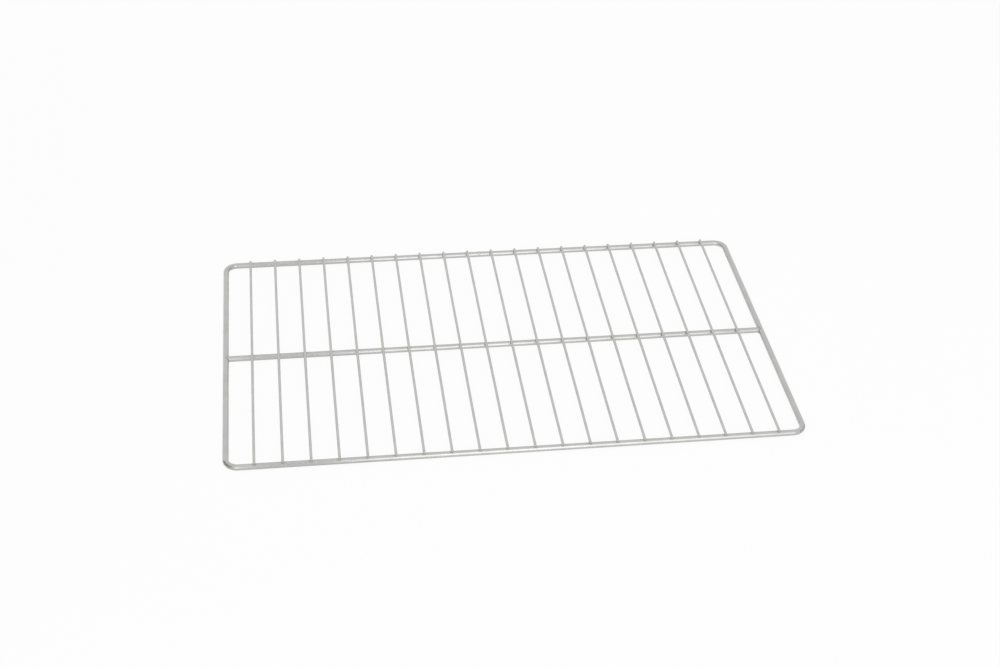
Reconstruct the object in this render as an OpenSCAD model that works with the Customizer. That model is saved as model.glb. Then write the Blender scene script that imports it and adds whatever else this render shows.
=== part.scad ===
// Wire rack for an oven or a refrigerated cabinet, in millimetres.
// One heavy round wire is bent into a rectangle and butt welded, a centre bar
// of the same wire joins its two side bars, and thin straight wires lie across
// the top of all three long bars, each resistance welded into a shallow saddle.
// The rack lies on z = 0, X runs along its length and Y from front to back.
// The origin is the middle of its footprint.

/* [Overall size] */
// Length of the rack over its left and right side bars
rack_length = 530; // [300:5:650]
// Width of the rack over its front and back bars
rack_width = 325; // [200:5:450]

/* [Heavy wire] */
// Diameter of the round wire of the outer frame and of the centre bar
heavy_wire_d = 5.5; // [4:0.5:8]
// Inside radius of the four bends of the frame
corner_inside_r = 8.25; // [4:0.25:15]

/* [Frame butt weld] */
// How far the upset bead of the butt weld stands proud above the wire
bead_height = 0.35; // [0.1:0.05:0.8]
// Length of the bead along the wire
bead_length = 4; // [2:0.5:8]
// How far the bead is dressed back under the sides of the wire
bead_dressing = 0.05; // [0.02:0.01:0.2]

/* [Centre bar] */
// Distance of the centre bar behind the middle of the rack
centre_bar_shift = 0; // [-60:1:60]
// How far each end of the centre bar reaches round its side bar
centre_bar_set_in = 1.5; // [0.5:0.25:1.75]

/* [Cross wires] */
// Number of thin wires, evenly spaced between the side bars
cross_wire_count = 20; // [8:1:30]
// Diameter of the thin wires
cross_wire_d = 2.5; // [2:0.25:4]
// Distance from the outer face of a long bar to the cut ends on top of it
cross_wire_end_inset = 1.5; // [0:0.25:2]
// Chamfer left on each cut end
cross_wire_end_chamfer = 0.25; // [0.1:0.05:0.5]

/* [Cross wire welds] */
// Depth to which a thin wire is pressed into the bars under it
weld_depth = 0.4; // [0.1:0.05:0.8]
// Gap left round a thin wire in its saddle, none where the metal is fused
saddle_gap = 0; // [0:0.01:0.05]

/* [Hidden] */
$fn = 32;
heavy_wire_r = heavy_wire_d / 2;
cross_wire_r = cross_wire_d / 2;

// Places of the bars' centre lines
side_bar_x = rack_length / 2 - heavy_wire_r;
long_bar_y = rack_width / 2 - heavy_wire_r;
bar_axis_z = heavy_wire_r;

// Centre line of the frame's bends, and the straight lengths between them
bend_r = corner_inside_r + heavy_wire_r;
bend_centre_x = side_bar_x - bend_r;
bend_centre_y = long_bar_y - bend_r;
corners = [
    [bend_centre_x, bend_centre_y, 0],
    [-bend_centre_x, bend_centre_y, 90],
    [-bend_centre_x, -bend_centre_y, 180],
    [bend_centre_x, -bend_centre_y, 270]
];

// Thin wires: one space more than there are wires
wire_pitch = 2 * side_bar_x / (cross_wire_count + 1);
cross_wire_length = rack_width - 2 * cross_wire_end_inset;
cross_wire_z = heavy_wire_d - weld_depth + cross_wire_r;

// The butt weld lies in the space between two thin wires nearest the middle.
// Its bead is a barrel a little thinner than the wire. It is shifted up, so it
// stands proud on top, and the barrel reaches a little past the bead's ends.
bead_x = cross_wire_count % 2 == 0 ? 0 : wire_pitch / 2;
bead_shift = bead_height + bead_dressing;
bead_middle_r = heavy_wire_r - bead_dressing;
bead_arc_r = (pow(bead_length / 2, 2) + pow(bead_height, 2)) / (2 * bead_height);
barrel_length = bead_length + 2 * bead_height;

function wire_x(number) = (number - (cross_wire_count + 1) / 2) * wire_pitch;

function wire_name(number) = str("cross_wire_", number < 10 ? "0" : "", number);

// Straight length of round wire along X, centred on the origin
module rod_along_x(length, d) {
    rotate([0, 90, 0])
        cylinder(h = length, d = d, center = true);
}

// Straight length of round wire along Y, centred on the origin
module rod_along_y(length, d) {
    rotate([90, 0, 0])
        cylinder(h = length, d = d, center = true);
}

// Straight wire along Y whose cut ends are chamfered
module cut_wire_along_y(length, d, chamfer) {
    r = d / 2;
    rotate([90, 0, 0])
        rotate_extrude()
            polygon([
                [0, -length / 2],
                [r - chamfer, -length / 2],
                [r, chamfer - length / 2],
                [r, length / 2 - chamfer],
                [r - chamfer, length / 2],
                [0, length / 2]
            ]);
}

// Quarter turn of the frame wire about Z, from the +X side to the +Y side
module frame_bend() {
    rotate_extrude(angle = 90)
        translate([bend_r, 0])
            circle(d = heavy_wire_d);
}

// The frame wire as it leaves the bender: four straights and four bends
module bent_wire() {
    for (side = [-1, 1]) {
        translate([0, side * long_bar_y, bar_axis_z])
            rod_along_x(2 * bend_centre_x, heavy_wire_d);
        translate([side * side_bar_x, 0, bar_axis_z])
            rod_along_y(2 * bend_centre_y, heavy_wire_d);
    }
    for (corner = corners)
        translate([corner[0], corner[1], bar_axis_z])
            rotate([0, 0, corner[2]])
                frame_bend();
}

// Barrel of metal squeezed up where the two ends of the frame wire meet
module weld_bead() {
    translate([bead_x, long_bar_y, bar_axis_z + bead_shift])
        rotate([0, 90, 0])
            rotate_extrude()
                intersection() {
                    translate([bead_middle_r - bead_arc_r, 0])
                        circle(r = bead_arc_r, $fn = 96);
                    translate([0, -barrel_length / 2])
                        square([bead_middle_r, barrel_length]);
                }
}

// The space that the thin wires take, cut out of each bar they cross
module saddles() {
    for (number = [1:cross_wire_count])
        translate([wire_x(number), 0, cross_wire_z])
            rod_along_y(rack_width, cross_wire_d + 2 * saddle_gap);
}

// Outer frame, one closed ring of heavy wire
module frame() {
    color([0.72, 0.72, 0.70])
        difference() {
            union() {
                bent_wire();
                weld_bead();
            }
            saddles();
        }
}

// Bar between the side bars, its ends coped to fit round them
module centre_bar() {
    color([0.74, 0.74, 0.72])
        difference() {
            translate([0, centre_bar_shift, bar_axis_z])
                rod_along_x(rack_length - 2 * (heavy_wire_d - centre_bar_set_in), heavy_wire_d);
            for (side = [-1, 1])
                translate([side * side_bar_x, 0, bar_axis_z])
                    rod_along_y(rack_width, heavy_wire_d);
            saddles();
        }
}

// One thin wire, numbered from the left
module cross_wire(number) {
    color([0.76, 0.76, 0.74])
        translate([wire_x(number), 0, cross_wire_z])
            cut_wire_along_y(cross_wire_length, cross_wire_d, cross_wire_end_chamfer);
}

frame();
centre_bar();
for (number = [1:cross_wire_count])
    cross_wire(number);
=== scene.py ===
# Welded wire rack: the finish of its drawn steel wires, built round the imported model.
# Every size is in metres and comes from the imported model, except those in the dictionaries.

import bpy
import numpy as np
from mathutils import Matrix, Vector


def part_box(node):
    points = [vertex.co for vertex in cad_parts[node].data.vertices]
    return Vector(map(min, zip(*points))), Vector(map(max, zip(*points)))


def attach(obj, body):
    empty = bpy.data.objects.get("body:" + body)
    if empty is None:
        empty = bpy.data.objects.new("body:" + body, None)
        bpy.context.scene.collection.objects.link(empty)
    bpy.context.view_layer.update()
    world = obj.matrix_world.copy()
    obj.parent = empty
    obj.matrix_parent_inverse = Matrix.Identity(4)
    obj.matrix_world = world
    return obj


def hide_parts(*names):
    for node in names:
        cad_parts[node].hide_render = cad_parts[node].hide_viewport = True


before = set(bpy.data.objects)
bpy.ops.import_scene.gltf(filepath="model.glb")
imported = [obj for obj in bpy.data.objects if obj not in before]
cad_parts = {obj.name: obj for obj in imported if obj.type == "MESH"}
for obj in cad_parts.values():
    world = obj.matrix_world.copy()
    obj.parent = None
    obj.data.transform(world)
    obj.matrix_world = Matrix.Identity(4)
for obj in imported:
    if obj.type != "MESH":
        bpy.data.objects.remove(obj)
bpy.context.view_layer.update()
print("packed rack loaded,", len(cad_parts), "nodes")

# Places of the wires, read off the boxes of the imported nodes
frameLow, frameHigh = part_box("frame")
barLow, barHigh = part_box("centre_bar")
thinNames = sorted(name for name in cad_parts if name.startswith("cross_wire"))
thinBoxes = [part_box(name) for name in thinNames]
heavyRadius = (barHigh.z - barLow.z) / 2
thinRadius = (thinBoxes[0][1].x - thinBoxes[0][0].x) / 2
sideX = frameHigh.x - heavyRadius            # axis of the side bars
longY = frameHigh.y - heavyRadius            # axis of the front and back bars
centreY = (barLow.y + barHigh.y) / 2         # axis of the centre bar
heavyZ = barLow.z + heavyRadius
thinZ = thinBoxes[0][1].z - thinRadius
thinX = np.array([(low.x + high.x) / 2 for low, high in thinBoxes])
thinEnd = thinBoxes[0][1].y                  # cut ends of the thin wires
barsY = np.array([-longY, centreY, longY])   # the three bars that the thin wires lie on
vertical = np.array([0.0, 0.0, 1.0])
lengthways = np.array([1.0, 0.0, 0.0])
fullTurn = 2 * np.pi


def unit(vectors):
    # each vector divided by its own length
    return vectors / np.linalg.norm(vectors, axis=-1, keepdims=True)


def bell(distance, width):
    # 1 at no distance, falling smoothly away over the width
    return np.exp(-((distance / width) ** 2))


def waves(along, lengths, phases):
    # sum of sines of the given wave lengths, divided by their number
    sines = [np.sin(fullTurn * along / length + phase) for length, phase in zip(lengths, phases)]
    return np.mean(sines, axis=0)


def ringsAlong(centres, tangents, reference, radii):
    # point = centre + radius * (side * cos turn + up * sin turn), where the side
    # is tangent x reference and up is side x tangent; one ring for each centre
    sides = unit(np.cross(tangents, reference))
    ups = np.cross(sides, tangents)
    turn = fullTurn * np.arange(radii.shape[-1]) / radii.shape[-1]
    spokes = sides[..., None, :] * np.cos(turn)[:, None] + ups[..., None, :] * np.sin(turn)[:, None]
    return centres[..., None, :] + radii[..., None] * spokes


def wireMesh(name, rings, along, girth, poles=None):
    # skin over one or more stacks of rings, of shape (stacks, rings, points, 3).
    # A stack closes on itself, or ends in the two poles given for it. along is
    # the length at each ring, with one more value where the stack closes.
    stacks, rows, columns = rings.shape[:3]
    closed = poles is None
    stack, row, column = np.meshgrid(
        np.arange(stacks), np.arange(rows if closed else rows - 1), np.arange(columns), indexing="ij")
    stack, row, column = stack.ravel(), row.ravel(), column.ravel()
    cornerRow = np.stack([row, row + 1, row + 1, row], 1)
    cornerColumn = np.stack([column, column, column + 1, column + 1], 1)
    quads = (stack[:, None] * rows + cornerRow % rows) * columns + cornerColumn % columns
    points = rings.reshape(-1, 3)
    faces = quads.tolist()
    rowsOfCorners, columnsOfCorners = cornerRow.ravel(), cornerColumn.ravel().astype(float)
    if not closed:
        first = len(points)
        points = np.concatenate([points, poles.reshape(-1, 3)])
        spoke = np.arange(columns)
        lastRow = (rows - 1) * columns
        startFan = np.stack([np.full(columns, first), spoke, (spoke + 1) % columns], 1)
        endFan = np.stack([np.full(columns, first + 1), lastRow + (spoke + 1) % columns, lastRow + spoke], 1)
        faces += startFan.tolist() + endFan.tolist()
        fanRows = np.repeat([0, rows - 1], 3 * columns)
        rowsOfCorners = np.concatenate([rowsOfCorners, fanRows])
        startColumns = np.stack([spoke + 0.5, spoke, spoke + 1], 1).ravel()
        endColumns = np.stack([spoke + 0.5, spoke + 1, spoke], 1).ravel()
        columnsOfCorners = np.concatenate([columnsOfCorners, startColumns, endColumns])
    mesh = bpy.data.meshes.new(name)
    mesh.from_pydata(points.tolist(), [], faces)
    mesh.shade_smooth()
    # The drawn pattern reads the wire as if it were straight: its length, then across it
    length = along[rowsOfCorners]
    turn = fullTurn * columnsOfCorners / columns
    straight = np.stack([length, girth * np.cos(turn), girth * np.sin(turn)], 1)
    mesh.attributes.new("straightWire", "FLOAT_VECTOR", "CORNER").data.foreach_set("vector", straight.ravel())
    flat = np.stack([length, girth * turn], 1)
    mesh.uv_layers.new(name="wireMap").uv.foreach_set("vector", flat.ravel())
    piece = bpy.data.objects.new(name, mesh)
    bpy.context.scene.collection.objects.link(piece)
    return piece


def meshPoints(piece):
    # the vertices of a piece as rows of x, y, z
    points = np.zeros(3 * len(piece.data.vertices))
    piece.data.vertices.foreach_get("co", points)
    return points.reshape(-1, 3)


weldPlaces = np.array([[x, y, heavyZ + heavyRadius] for y in barsY for x in thinX]
                      + [[side * sideX, centreY, heavyZ] for side in (-1, 1)] + [[0, longY, heavyZ]])


def addHeatTintAndCreviceShade(piece, gaps):
    # weldHeat is 1 at the nearest weld and fades over a few millimetres;
    # the mask of painted crevice shade is 1 where another wire touches and fades with the gap to it
    points = meshPoints(piece)
    nearest = np.full(len(points), np.inf)
    for place in weldPlaces:
        nearest = np.minimum(nearest, np.linalg.norm(points - place, axis=1))
    values = {"weldHeat": bell(nearest, 0.0045), "creviceShadeMask": bell(gaps(points), 0.00035)}
    for name, value in values.items():
        piece.data.attributes.new(name, "FLOAT", "POINT").data.foreach_set("value", value)


def gapToThinWires(points):
    # distance from each point to the skin of the nearest thin wire
    across = np.abs(points[:, None, 0] - thinX).min(1)
    return np.maximum(np.hypot(across, points[:, 2] - thinZ) - thinRadius, 0)


def gapToHeavyWires(points):
    # distance from each point to the skin of the nearest of the three long bars
    across = np.abs(points[:, None, 1] - barsY).min(1)
    return np.maximum(np.hypot(across, points[:, 2] - heavyZ) - heavyRadius, 0)


def finishPiece(piece, slot, material, *nodes):
    # material, body and the imported nodes that the piece stands for; the slot is not used
    piece.data.materials.append(material)
    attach(piece, "root")
    if nodes:
        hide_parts(*nodes)


# Steel finishes
heavyFinish = {
    "steel": (0.53, 0.53, 0.522), "shade": (0.47, 0.47, 0.462), "roughness": (0.22, 0.30), "drawn": 0.9,
    "lineWidth": 0.00012, "lineLength": 0.06, "patchSize": 0.02, "grain": 0.0004, "bump": 0.10,
    "tint": (0.48, 0.44, 0.36), "tintShare": 0.4,
}
thinFinish = {
    "steel": (0.54, 0.54, 0.53), "shade": (0.48, 0.48, 0.47), "roughness": (0.20, 0.28), "drawn": 0.6,
    "lineWidth": 0.00008, "lineLength": 0.04, "patchSize": 0.012, "grain": 0.0003, "bump": 0.12,
    "tint": (0.47, 0.44, 0.37), "tintShare": 0.4,
}
weldFinish = {
    "steel": (0.52, 0.52, 0.505), "shade": (0.44, 0.435, 0.42), "roughness": (0.28, 0.42), "drawn": 0.0,
    "lineWidth": 0.0003, "lineLength": 0.0006, "patchSize": 0.0012, "grain": 0.0002, "bump": 0.4,
    "tint": (0.43, 0.40, 0.34), "tintShare": 0.5,
}
# Painted shade in the crevice where wires meet: how dark it is painted and how much rougher it gets
creviceShadeAndRoughness = {"colour": (0.27, 0.265, 0.25, 1), "paintedShadeShare": 0.35, "roughness": 0.25}
# Sockets of the Mix node when it mixes colours
mixShare, mixFirst, mixSecond, mixResult = 0, 6, 7, 2


def addNode(tree, kind, inputs=None, **options):
    # one node with its options set and each input filled or linked
    node = tree.nodes.new(kind)
    for option, value in options.items():
        setattr(node, option, value)
    for socket, value in (inputs or {}).items():
        if isinstance(value, bpy.types.NodeSocket):
            tree.links.new(value, node.inputs[socket])
        else:
            node.inputs[socket].default_value = value
    return node


def mixColours(tree, share, first, second, blend="MIX"):
    node = addNode(tree, "ShaderNodeMix", {mixShare: share, mixFirst: first, mixSecond: second},
                   data_type="RGBA", blend_type=blend)
    return node.outputs[mixResult]


def multiply(tree, first, second, added=0.0):
    # first * second + added
    node = addNode(tree, "ShaderNodeMath", {0: first, 1: second, 2: added}, operation="MULTIPLY_ADD")
    return node.outputs[0]


def steelMaterial(name, finish):
    # drawn steel: fine lines along the wire, soft patches, a fine grain, straw
    # tint where a weld has heated it, and painted shade, a little rougher, in the crevice where wires meet
    material = bpy.data.materials.new(name)
    material.use_nodes = True
    tree = material.node_tree
    shader = tree.nodes["Principled BSDF"]
    place = addNode(tree, "ShaderNodeAttribute", attribute_name="straightWire").outputs["Vector"]
    heat = addNode(tree, "ShaderNodeAttribute", attribute_name="weldHeat").outputs["Fac"]
    creviceShadeMask = addNode(tree, "ShaderNodeAttribute", attribute_name="creviceShadeMask").outputs["Fac"]

    across = 1 / finish["lineWidth"]
    stretched = addNode(tree, "ShaderNodeMapping",
                        {"Vector": place, "Scale": (1 / finish["lineLength"], across, across)}).outputs[0]
    lines = addNode(tree, "ShaderNodeTexNoise",
                    {"Vector": stretched, "Scale": 1.0, "Detail": 3.0}).outputs[0]
    patches = addNode(tree, "ShaderNodeTexNoise",
                      {"Vector": place, "Scale": 1 / finish["patchSize"], "Detail": 2.0}).outputs[0]
    grain = addNode(tree, "ShaderNodeTexNoise",
                    {"Vector": place, "Scale": 1 / finish["grain"], "Detail": 2.0}).outputs[0]

    # patches and lines shift the colour a little towards the shade
    clouded = addNode(tree, "ShaderNodeMapRange",
                      {"Value": patches, "From Min": 0.35, "From Max": 0.65, "To Max": 0.7}).outputs[0]
    lined = addNode(tree, "ShaderNodeMapRange",
                    {"Value": lines, "From Min": 0.4, "From Max": 0.7, "To Max": 0.5}).outputs[0]
    colour = mixColours(tree, clouded, (*finish["steel"], 1), (*finish["shade"], 1))
    colour = mixColours(tree, lined, colour, (*finish["shade"], 1))
    tinted = multiply(tree, heat, finish["tintShare"])
    blotched = multiply(tree, tinted, grain)
    colour = mixColours(tree, blotched, colour, (*finish["tint"], 1))
    # painted shade: the colour darkens in the crevice where another wire touches
    paintedCreviceShade = multiply(tree, creviceShadeMask, creviceShadeAndRoughness["paintedShadeShare"])
    colour = mixColours(tree, paintedCreviceShade, colour, creviceShadeAndRoughness["colour"])
    tree.links.new(colour, shader.inputs["Base Color"])

    low, high = finish["roughness"]
    mixed = addNode(tree, "ShaderNodeMath", {0: patches, 1: lines}, operation="ADD").outputs[0]
    rough = addNode(tree, "ShaderNodeMapRange",
                    {"Value": mixed, "From Min": 0.7, "From Max": 1.3, "To Min": low, "To Max": high})
    rougher = multiply(tree, creviceShadeMask, creviceShadeAndRoughness["roughness"], rough.outputs[0])
    tree.links.new(rougher, shader.inputs["Roughness"])

    relief = multiply(tree, grain, 0.5, lines)
    bump = addNode(tree, "ShaderNodeBump",
                   {"Height": relief, "Strength": finish["bump"], "Distance": finish["lineWidth"] / 4})
    tree.links.new(bump.outputs[0], shader.inputs["Normal"])
    shader.inputs["Metallic"].default_value = 1.0
    # drawing blurs the reflections across the wire more than along it
    direction = addNode(tree, "ShaderNodeTangent", direction_type="UV_MAP", uv_map="wireMap").outputs[0]
    tree.links.new(direction, shader.inputs["Tangent"])
    shader.inputs["Anisotropic"].default_value = finish["drawn"]
    shader.inputs["Anisotropic Rotation"].default_value = 0.25
    return material


heavySteel = steelMaterial("heavyDrawnSteel", heavyFinish)
thinSteel = steelMaterial("thinDrawnSteel", thinFinish)
weldSteel = steelMaterial("weldedSteel", weldFinish)
print("steel finishes made")

# Outer frame: one heavy wire, its ends butt welded in the middle of the back bar
frameWire = {
    "around": 56, "straightStep": 0.0025, "bendSteps": 40, "bendRadius": 0.011, "bendFlattening": 0.02,
    "waviness": 0.00004, "waveLengths": (0.11, 0.067, 0.043), "wavePhases": (0.4, 2.1, 4.0),
    "beadReach": 0.005, "beadSteps": 64, "beadHeight": 0.00035, "beadLength": 0.0042, "beadSides": 0.00005,
    "seamWidth": 0.00016, "seamDepth": 0.00005,
}


def frameRoute():
    # five straight runs with a quarter turn after each of the first four, from
    # the butt weld round to it again. Along a turn the point is the bend's
    # centre + bend radius * (sin heading, -cos heading).
    bend = frameWire["bendRadius"]
    halfX, halfY = sideX - bend, longY - bend
    point, heading, travelled = np.array([0.0, longY]), np.pi, 0.0
    points, headings, lengths = [], [], []
    for index, run in enumerate([halfX, 2 * halfY, 2 * halfX, 2 * halfY, halfX]):
        forward = np.array([np.cos(heading), np.sin(heading)])
        steps = np.linspace(0, run, int(run / frameWire["straightStep"]), endpoint=False)
        if index in (0, 4):  # closer rings on both sides of the butt weld
            close = np.linspace(0, frameWire["beadReach"], frameWire["beadSteps"], endpoint=False)
            close = close if index == 0 else run - close[1:]
            weldAt = 0 if index == 0 else run
            steps = steps[np.abs(steps - weldAt) > frameWire["beadReach"]]
            steps = np.sort(np.concatenate([steps, close]))
        points.append(point + steps[:, None] * forward)
        headings.append(np.full(len(steps), heading))
        lengths.append(travelled + steps)
        point, travelled = point + run * forward, travelled + run
        if index < 4:
            turns = np.linspace(0, np.pi / 2, frameWire["bendSteps"], endpoint=False)
            centre = point + bend * np.array([-forward[1], forward[0]])
            sweep = heading + turns
            points.append(centre + bend * np.stack([np.sin(sweep), -np.cos(sweep)], 1))
            headings.append(sweep)
            lengths.append(travelled + bend * turns)
            heading, travelled = heading + np.pi / 2, travelled + bend * np.pi / 2
            point = centre + bend * np.array([np.sin(heading), -np.cos(heading)])
    return np.concatenate(points), np.concatenate(headings), np.append(np.concatenate(lengths), travelled)


def makeFrameWire():
    points, headings, along = frameRoute()
    rings, total = along[:-1], along[-1]
    tangents = np.stack([np.cos(headings), np.sin(headings), np.zeros_like(headings)], 1)
    inBend = np.sin(2 * headings) ** 2
    turn = fullTurn * np.arange(frameWire["around"]) / frameWire["around"]
    # the bent wire is a little thinner in the plane of its bend
    radii = heavyRadius * (1 - frameWire["bendFlattening"] * inBend[:, None] * np.cos(turn) ** 2)
    # butt weld: a slightly thinner ring lifted by the bead's height, so that it
    # shows on top only, with a fine seam round its middle
    fromWeld = np.minimum(rings, total - rings)
    rise = np.clip(1 - (2 * fromWeld / frameWire["beadLength"]) ** 2, 0, 1)
    lift = (frameWire["beadHeight"] + frameWire["beadSides"]) * rise
    ringRadius = heavyRadius - frameWire["beadSides"]
    bead = lift[:, None] * np.sin(turn) + np.sqrt(ringRadius ** 2 - (lift[:, None] * np.cos(turn)) ** 2)
    seam = frameWire["seamDepth"] * bell(fromWeld, frameWire["seamWidth"])
    radii = np.maximum(radii, bead) - seam[:, None]
    sway = frameWire["waviness"] * waves(rings, frameWire["waveLengths"], frameWire["wavePhases"])
    sway = sway * bell(inBend, 0.1)  # none in the bends
    centres = np.column_stack([points, np.full(len(points), heavyZ)])
    centres = centres + sway[:, None] * np.cross(tangents, vertical)
    skin = ringsAlong(centres, tangents, vertical, radii)
    piece = wireMesh("frameWire", skin[None], along, heavyRadius)
    addHeatTintAndCreviceShade(piece, gapToThinWires)
    finishPiece(piece, "heavy_wire", heavySteel, "frame")


makeFrameWire()
print("frame wire made")

# Centre bar between the side bars
centreBar = {"around": 56, "step": 0.0025, "endRound": 0.0004, "endSteps": 6}


def endProfile(radius, rounding, steps):
    # distance from the end and radius of each ring of a cut end whose edge is a
    # quarter circle: radius - rounding * (1 - sin angle), rounding * (1 - cos angle)
    angle = np.linspace(0, np.pi / 2, steps)
    inset = np.concatenate([[0, 0], rounding * (1 - np.cos(angle))])
    size = np.concatenate([[0.5 * (radius - rounding), 0.97 * (radius - rounding)],
                           radius - rounding * (1 - np.sin(angle))])
    return inset, size


def makeCentreBar():
    inset, size = endProfile(heavyRadius, centreBar["endRound"], centreBar["endSteps"])
    middle = np.arange(barLow.x + 0.002, barHigh.x - 0.002, centreBar["step"])
    along = np.concatenate([barLow.x + inset, middle, (barHigh.x - inset)[::-1]])
    size = np.concatenate([size, np.full(len(middle), heavyRadius), size[::-1]])
    centres = np.column_stack([along, np.full(len(along), centreY), np.full(len(along), heavyZ)])
    tangents = np.tile(lengthways, (len(along), 1))
    radii = np.repeat(size[:, None], centreBar["around"], 1)
    skin = ringsAlong(centres, tangents, vertical, radii)
    piece = wireMesh("centreBar", skin[None], along, heavyRadius, centres[[0, -1]])
    addHeatTintAndCreviceShade(piece, gapToThinWires)
    finishPiece(piece, "heavy_wire", heavySteel, "centre_bar")


makeCentreBar()
print("centre bar made")

# Thin wires across the three bars
crossWires = {
    "around": 32, "step": 0.004, "weldStep": 0.00035, "weldReach": 0.0042,
    "endRound": 0.00028, "endSteps": 6, "endTilt": 0.05,
    "flatDepth": 0.00012, "flatLength": 0.0016, "sway": 0.00012,
}


def makeThinWire(name, x, random):
    inset, size = endProfile(thinRadius, crossWires["endRound"], crossWires["endSteps"])
    middle = np.arange(-thinEnd + 0.001, thinEnd - 0.001, crossWires["step"])
    closer = np.arange(-crossWires["weldReach"], crossWires["weldReach"], crossWires["weldStep"])
    atWelds = (barsY[:, None] + closer).ravel()
    middle = np.unique(np.round(np.concatenate([middle, atWelds]), 6))
    middle = middle[np.abs(middle) < thinEnd - 0.0005]
    along = np.concatenate([-thinEnd + inset, middle, (thinEnd - inset)[::-1]])
    size = np.concatenate([size, np.full(len(middle), thinRadius), size[::-1]])
    # the wire sways a little between its welds
    sway = crossWires["sway"] * random.uniform(-1, 1) * np.sin(np.pi * along / longY) ** 2
    centres = np.column_stack([x + sway, along, np.full(len(along), thinZ)])
    tangents = np.tile([0.0, 1.0, 0.0], (len(along), 1))
    radii = np.repeat(size[:, None], crossWires["around"], 1)
    rings = ringsAlong(centres, tangents, vertical, radii)
    # the welding electrode has left a small flat over each bar
    press = bell(np.abs(along[:, None] - barsY).min(1), crossWires["flatLength"])
    top = thinZ + thinRadius - crossWires["flatDepth"] * random.uniform(0.6, 1.2) * press
    rings[..., 2] = np.minimum(rings[..., 2], top[:, None])
    # the sheared end faces lean a little
    for end, lean in ((-1, random.uniform(-1, 1)), (1, random.uniform(-1, 1))):
        near = np.clip(1 - (thinEnd - end * rings[..., 1]) / 0.0012, 0, 1)
        rings[..., 1] += crossWires["endTilt"] * lean * near * (rings[..., 2] - thinZ)
    poles = rings[[0, -1]].mean(1)
    piece = wireMesh(name, rings[None], along, thinRadius, poles)
    addHeatTintAndCreviceShade(piece, gapToHeavyWires)
    return piece


random = np.random.default_rng(20)
for node, x in zip(thinNames, thinX):
    number = node.split("_")[-1]
    finishPiece(makeThinWire("thinWire" + number, x, random), "thin_wire", thinSteel, node)
print("thin wires made")

# Collars of metal squeezed out of each weld
weldCollars = {
    "around": 12, "steps": 44, "size": 0.00026, "sideSwell": 0.35, "seat": 0.5, "roughness": 0.16,
    "barEndSize": 0.00042, "barEndSteps": 96,
}


def unevenness(count, orders, t, random):
    # for each collar, a sum of sines round it with random sizes and phases
    parts = [random.uniform(0.3, 1, (count, 1)) * np.sin(order * t + random.uniform(0, fullTurn, (count, 1)))
             for order in orders]
    return weldCollars["roughness"] * sum(parts)


def collarRings(route, outward, sizes, reference):
    # closed rings round a closed seam, moved out of the seam by their seat
    centres = route + weldCollars["seat"] * sizes[..., None] * outward
    tangents = unit(np.roll(centres, -1, -2) - np.roll(centres, 1, -2))
    radii = np.repeat(sizes[..., None], weldCollars["around"], -1)
    return ringsAlong(centres, tangents, reference, radii)


def makeCrossingCollars(name, y, random):
    # seam of the two wires: x = reach * cos t, z on the underside of the thin
    # wire, and y on the skin of the bar at that height
    t = fullTurn * np.arange(weldCollars["steps"]) / weldCollars["steps"]
    reach = np.sqrt(thinRadius ** 2 - (thinZ - heavyZ - heavyRadius) ** 2)
    seamX = reach * np.cos(t)
    seamZ = thinZ - np.sqrt(thinRadius ** 2 - seamX ** 2)
    seamY = np.sign(np.sin(t)) * np.sqrt(np.maximum(heavyRadius ** 2 - (seamZ - heavyZ) ** 2, 0))
    barNormal = np.stack([0 * t, seamY, seamZ - heavyZ], 1) / heavyRadius
    wireNormal = np.stack([seamX, 0 * t, seamZ - thinZ], 1) / thinRadius
    outward = unit(barNormal + wireNormal)
    seams = np.stack([thinX[:, None] + seamX, np.full((len(thinX), len(t)), y) + seamY,
                      np.tile(seamZ, (len(thinX), 1))], -1)
    swell = 1 + weldCollars["sideSwell"] * np.cos(t) ** 2
    uneven = unevenness(len(thinX), (1, 2, 3, 5), t, random)
    sizes = weldCollars["size"] * random.uniform(0.85, 1.15, (len(thinX), 1)) * swell * (1 + uneven)
    rings = collarRings(seams, outward, sizes, vertical)
    along = np.linspace(0, 0.006, weldCollars["steps"] + 1)
    piece = wireMesh(name, rings, along, weldCollars["size"])
    addHeatTintAndCreviceShade(piece, lambda points: np.maximum(gapToThinWires(points), gapToHeavyWires(points)))
    finishPiece(piece, "heavy_wire", weldSteel)


def makeBarEndCollars(random):
    # seam of two equal wires that meet square: x = side axis - radius * |cos t|,
    # no further out than the bar's end, y and z on the skin of the centre bar
    t = fullTurn * np.arange(weldCollars["barEndSteps"]) / weldCollars["barEndSteps"]
    seamX = np.minimum(sideX - heavyRadius * np.abs(np.cos(t)), barHigh.x)
    barNormal = np.stack([0 * t, np.cos(t), np.sin(t)], 1)
    sideNormal = unit(np.stack([seamX - sideX, 0 * t, heavyRadius * np.sin(t)], 1))
    outward = unit(barNormal + sideNormal)
    seam = np.stack([seamX, centreY + heavyRadius * np.cos(t), heavyZ + heavyRadius * np.sin(t)], 1)
    mirrored = np.array([-1.0, 1.0, 1.0])
    seams = np.stack([seam, (seam * mirrored)[::-1]])
    outward = np.stack([outward, (outward * mirrored)[::-1]])
    sizes = weldCollars["barEndSize"] * (1 + unevenness(2, (2, 3, 5, 7), t, random))
    rings = collarRings(seams, outward, sizes, lengthways)
    rings[..., 2] = np.maximum(rings[..., 2], barLow.z)  # dressed flush underneath
    along = np.linspace(0, fullTurn * heavyRadius, weldCollars["barEndSteps"] + 1)
    piece = wireMesh("barEndWelds", rings, along, weldCollars["barEndSize"])
    addHeatTintAndCreviceShade(piece, gapToHeavyWires)
    finishPiece(piece, "heavy_wire", weldSteel)


makeCrossingCollars("frontWelds", -longY, random)
makeCrossingCollars("centreWelds", centreY, random)
makeCrossingCollars("backWelds", longY, random)
makeBarEndCollars(random)
print("weld collars made")

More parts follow.
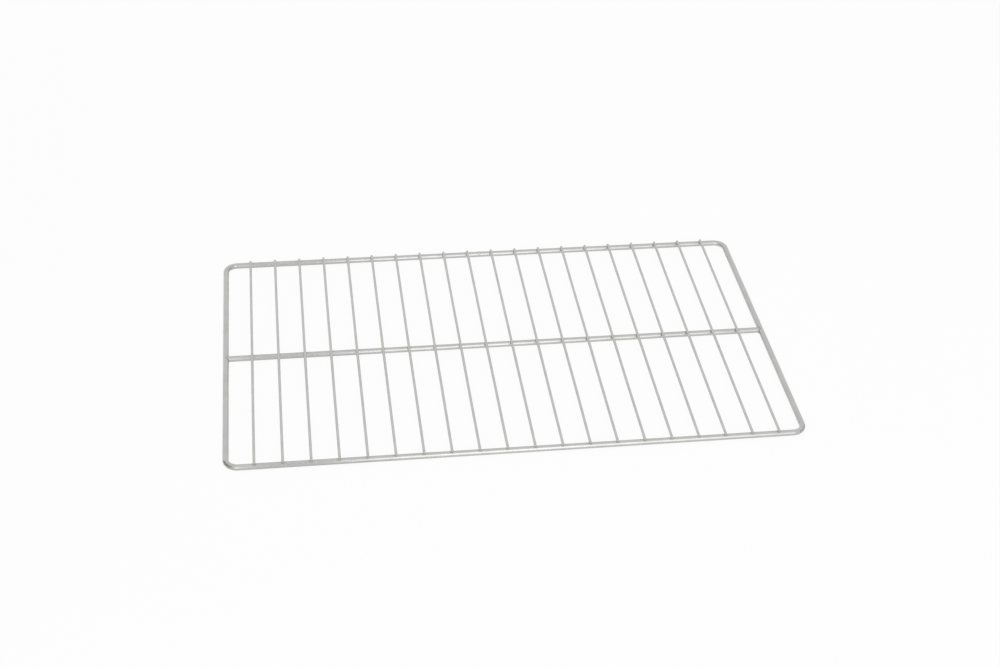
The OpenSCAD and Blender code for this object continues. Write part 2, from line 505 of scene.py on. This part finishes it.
# Studio: a white floor, a pale surround, soft lights on both sides of the camera,
# a pale screen behind it, and a dark and a grey card beside the rack
studio = {
    "floorSize": 16.0, "floorDrop": 0.0001, "floorColour": (0.9, 0.9, 0.9, 1), "whiteShare": 0.92,
    # painted shade in the steel's reflection: how much of the white floor the steel shows at its left and
    # right, less on the left, and where that changes
    "paintedReflectionShare": (0.78, 1.0), "paintedReflectionChange": (-0.17, -0.07),
    "surround": 0.85, "lightsY": -1.35,
    # each light: its left and right edge, its foot and top, and its brightness, where 1 is white
    "softboxes": {
        "leftSoftbox": {"across": (-0.85, -0.30), "upright": (0.05, 1.25), "brightness": 1.0},
        "nearSoftbox": {"across": (-0.11, 0.30), "upright": (0.01, 1.6), "brightness": 1.3},
        "middleSoftbox": {"across": (0.30, 0.56), "upright": (0.01, 1.6), "brightness": 1.05},
        "farSoftbox": {"across": (0.56, 0.80), "upright": (0.01, 1.6), "brightness": 0.7},
    },
    # each card: its foot from one end to the other, its height and how light its grey is
    "cards": {
        "darkCard": {"start": (-1.3, -1.0), "end": (-1.3, 0.65), "height": 0.75, "grey": 0.12},
        "greyCard": {"start": (1.4, 0.8), "end": (1.4, -0.8), "height": 0.6, "grey": 0.6},
        "cameraScreen": {"start": (-0.31, -1.4), "end": (-0.10, -1.4), "height": 2.4, "grey": 0.95},
    },
}


def lookAlong(direction):
    # turn that points an object's -Z along the direction
    return Vector(direction).to_track_quat("-Z", "Y").to_matrix().to_4x4()


def backgroundShare(tree, direct, mirrored):
    # how much of the plain background shows: to the camera, and in the steel
    path = addNode(tree, "ShaderNodeLightPath")
    straight, through = path.outputs["Is Camera Ray"], path.outputs["Is Transmission Ray"]
    seen = addNode(tree, "ShaderNodeMath", {0: straight, 1: through}, operation="MAXIMUM").outputs[0]
    return multiply(tree, path.outputs["Is Glossy Ray"], mirrored, multiply(tree, seen, direct))


def makeFloor():
    # a white sheet that shows white and keeps part of the rack's shadow; in the steel it shows painted darker
    # to the left
    half = studio["floorSize"] / 2
    drop = -studio["floorDrop"]
    corners = [(-half, -half, drop), (half, -half, drop), (half, half, drop), (-half, half, drop)]
    mesh = bpy.data.meshes.new("floor")
    mesh.from_pydata(corners, [], [(0, 1, 2, 3)])
    floor = bpy.data.objects.new("floor", mesh)
    bpy.context.scene.collection.objects.link(floor)
    material = bpy.data.materials.new("whiteFloor")
    material.use_nodes = True
    tree = material.node_tree
    tree.nodes.clear()
    paper = addNode(tree, "ShaderNodeBsdfDiffuse", {"Color": studio["floorColour"]})
    white = addNode(tree, "ShaderNodeEmission", {"Color": (1, 1, 1, 1), "Strength": 1.0})
    place = addNode(tree, "ShaderNodeTexCoord").outputs["Object"]
    across = addNode(tree, "ShaderNodeSeparateXYZ", {0: place}).outputs["X"]
    ends = [*studio["paintedReflectionChange"], *studio["paintedReflectionShare"]]
    limits = dict(zip(("From Min", "From Max", "To Min", "To Max"), ends))
    # painted shade: the floor shows less white in the steel towards the left
    mirrored = addNode(tree, "ShaderNodeMapRange", {"Value": across, **limits},
                       interpolation_type="SMOOTHSTEP").outputs[0]
    share = backgroundShare(tree, studio["whiteShare"], mirrored)
    both = addNode(tree, "ShaderNodeMixShader", {0: share, 1: paper.outputs[0], 2: white.outputs[0]})
    addNode(tree, "ShaderNodeOutputMaterial", {"Surface": both.outputs[0]})
    mesh.materials.append(material)


def makeSurround():
    # the room: white where it is seen, and pale where it lights the rack
    world = bpy.data.worlds.new("paleRoom")
    bpy.context.scene.world = world
    world.use_nodes = True
    tree = world.node_tree
    tree.nodes.clear()
    pale = addNode(tree, "ShaderNodeBackground", {"Color": (1, 1, 1, 1), "Strength": studio["surround"]})
    white = addNode(tree, "ShaderNodeBackground", {"Color": (1, 1, 1, 1), "Strength": 1.0})
    share = backgroundShare(tree, 1.0, 1.0)
    both = addNode(tree, "ShaderNodeMixShader", {0: share, 1: pale.outputs[0], 2: white.outputs[0]})
    addNode(tree, "ShaderNodeOutputWorld", {"Surface": both.outputs[0]})


def makeSoftbox(name, values):
    # an area light sends out power / (pi * area) towards the rack
    (left, right), (foot, top) = values["across"], values["upright"]
    width, height = right - left, top - foot
    lamp = bpy.data.lights.new(name, "AREA")
    lamp.shape, lamp.size, lamp.size_y = "RECTANGLE", width, height
    lamp.energy = values["brightness"] * np.pi * width * height
    softbox = bpy.data.objects.new(name, lamp)
    middle = ((left + right) / 2, studio["lightsY"], (foot + top) / 2)
    softbox.matrix_world = Matrix.Translation(middle) @ lookAlong((0, 1, 0))
    softbox.visible_camera = False
    bpy.context.scene.collection.objects.link(softbox)


def makeCard(name, values):
    # an upright sheet beside the rack, seen only in the steel
    foot = [(*values[end], height) for height in (0, values["height"]) for end in ("start", "end")]
    mesh = bpy.data.meshes.new(name)
    mesh.from_pydata(foot, [], [(0, 1, 3, 2)])
    card = bpy.data.objects.new(name, mesh)
    card.visible_camera = False
    bpy.context.scene.collection.objects.link(card)
    material = bpy.data.materials.new(name)
    material.use_nodes = True
    shader = material.node_tree.nodes["Principled BSDF"]
    shader.inputs["Base Color"].default_value = (values["grey"], values["grey"], values["grey"], 1)
    shader.inputs["Roughness"].default_value = 0.9
    mesh.materials.append(material)


makeFloor()
makeSurround()
for name, values in studio["softboxes"].items():
    makeSoftbox(name, values)
for name, values in studio["cards"].items():
    makeCard(name, values)
print("studio made")

# Camera at the photograph's place: turned to the right of the rack's depth, looking down
cameraView = {
    "lens": 59.82, "sensor": 36.0, "target": (0.0037, 0.01744, 0.00275), "distance": 1.63077,
    "azimuth": 8.599, "elevation": 35.985, "roll": -1.9685,
}


def makeCamera():
    # forward = (sin azimuth cos elevation, cos azimuth cos elevation, -sin elevation);
    # the picture is then rolled about that line
    azimuth, elevation, roll = np.radians([cameraView[key] for key in ("azimuth", "elevation", "roll")])
    ahead = np.array([np.sin(azimuth), np.cos(azimuth), 0.0])
    forward = ahead * np.cos(elevation) - vertical * np.sin(elevation)
    levelRight = unit(np.cross(forward, vertical))
    levelUp = np.cross(levelRight, forward)
    right = np.cos(roll) * levelRight - np.sin(roll) * levelUp
    up = np.cos(roll) * levelUp + np.sin(roll) * levelRight
    place = np.array(cameraView["target"]) - cameraView["distance"] * forward
    lens = bpy.data.cameras.new("productCamera")
    lens.lens, lens.sensor_width, lens.sensor_fit = cameraView["lens"], cameraView["sensor"], "HORIZONTAL"
    camera = bpy.data.objects.new("productCamera", lens)
    rows = np.column_stack([right, up, -forward, place])
    camera.matrix_world = Matrix([*rows.tolist(), [0, 0, 0, 1]])
    bpy.context.scene.collection.objects.link(camera)
    bpy.context.scene.camera = camera


makeCamera()
bpy.context.scene.view_settings.view_transform = "Standard"
print("camera set")
